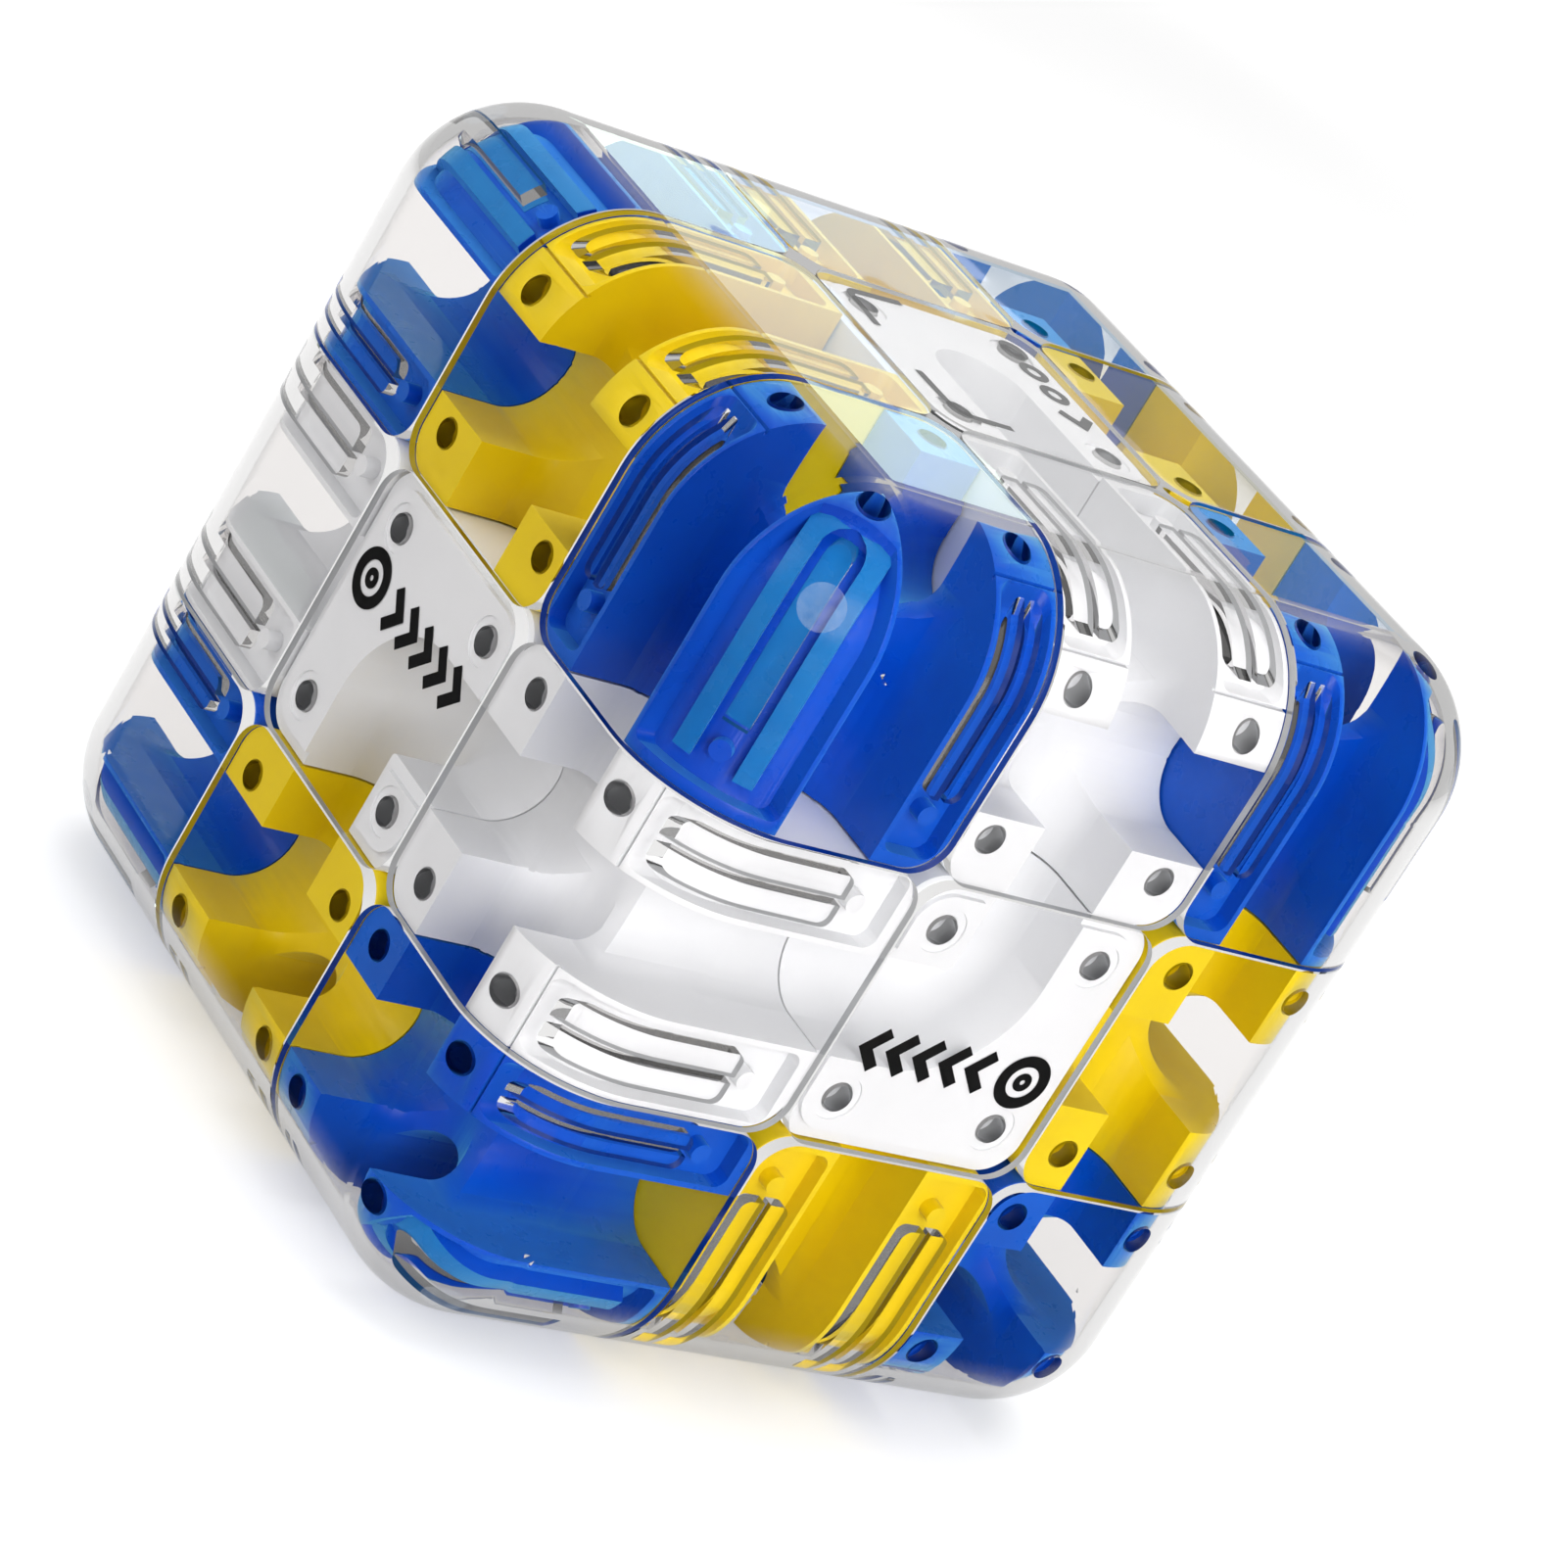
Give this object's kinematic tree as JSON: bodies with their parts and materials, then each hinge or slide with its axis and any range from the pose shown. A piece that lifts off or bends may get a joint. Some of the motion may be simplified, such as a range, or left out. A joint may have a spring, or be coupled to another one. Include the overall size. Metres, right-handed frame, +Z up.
{
  "type": "turning maze cube",
  "caption": "Maze cube whose layers turn: coloured blocks with ball channels under clear covers, held on a hidden core; tilting it rolls a steel ball along the lined-up channels.",
  "frame": {"origin": "centre of the cube, where the three turning axes cross", "axes": "+Z up through the tile with the start pocket, -Y through the front tile, +X through the right tile"},
  "size_m": [0.062, 0.062, 0.062],
  "materials": {
    "blue_plastic": "glossy deep blue",
    "yellow_plastic": "glossy yellow",
    "white_plastic": "glossy off-white",
    "clear_cover": "clear polished",
    "core_nylon": "dark matt nylon",
    "steel": "plain zinc-plated screw",
    "spring_steel": "drawn spring wire",
    "ball_steel": "polished ball"
  },
  "bodies": {
    "middle_layer": {"back_centre_cover": "clear_cover", "back_centre_track": "white_plastic", "back_left_edge_cover": "clear_cover", "back_left_edge_track": "white_plastic", "back_right_edge_cover": "clear_cover", "back_right_edge_track": "yellow_plastic", "centre_screws": "steel", "core_spider": "core_nylon", "front_centre_cover": "clear_cover", "front_centre_track": "white_plastic", "front_left_edge_cover": "clear_cover", "front_left_edge_track": "white_plastic", "front_right_edge_cover": "clear_cover", "front_right_edge_track": "white_plastic", "left_centre_cover": "clear_cover", "left_centre_track": "white_plastic", "middle_hubs": "core_nylon", "right_centre_cover": "clear_cover", "right_centre_track": "white_plastic", "tension_springs": "spring_steel"},
    "top_layer": {"top_back_edge_cover": "clear_cover", "top_back_edge_track": "yellow_plastic", "top_back_left_corner_cover": "clear_cover", "top_back_left_corner_track": "blue_plastic", "top_back_right_corner_cover": "clear_cover", "top_back_right_corner_track": "blue_plastic", "top_centre_cover": "clear_cover", "top_centre_track": "white_plastic", "top_front_edge_cover": "clear_cover", "top_front_edge_track": "yellow_plastic", "top_front_left_corner_cover": "clear_cover", "top_front_left_corner_track": "blue_plastic", "top_front_right_corner_cover": "clear_cover", "top_front_right_corner_track": "blue_plastic", "top_hub": "core_nylon", "top_left_edge_cover": "clear_cover", "top_left_edge_track": "yellow_plastic", "top_right_edge_cover": "clear_cover", "top_right_edge_track": "white_plastic"},
    "bottom_layer": {"bottom_back_edge_cover": "clear_cover", "bottom_back_edge_track": "white_plastic", "bottom_back_left_corner_cover": "clear_cover", "bottom_back_left_corner_track": "blue_plastic", "bottom_back_right_corner_cover": "clear_cover", "bottom_back_right_corner_track": "blue_plastic", "bottom_centre_cover": "clear_cover", "bottom_centre_track": "white_plastic", "bottom_front_edge_cover": "clear_cover", "bottom_front_edge_track": "yellow_plastic", "bottom_front_left_corner_cover": "clear_cover", "bottom_front_left_corner_track": "blue_plastic", "bottom_front_right_corner_cover": "clear_cover", "bottom_front_right_corner_track": "blue_plastic", "bottom_hub": "core_nylon", "bottom_left_edge_cover": "clear_cover", "bottom_left_edge_track": "yellow_plastic", "bottom_right_edge_cover": "clear_cover", "bottom_right_edge_track": "yellow_plastic"},
    "ball": {"maze_ball": "ball_steel"}
  },
  "joints": [
    {"name": "top_layer_turn", "type": "hinge", "parent": "middle_layer", "child": "top_layer", "pos_m": [0, 0, 0], "axis": [0, 0, 1], "continuous": true},
    {"name": "bottom_layer_turn", "type": "hinge", "parent": "middle_layer", "child": "bottom_layer", "pos_m": [0, 0, 0], "axis": [0, 0, 1], "continuous": true},
    {"name": "ball_roll", "type": "slide", "parent": "middle_layer", "child": "ball", "axis": [1, 0, 0], "range_m": [0, 0.0175]}
  ]
}
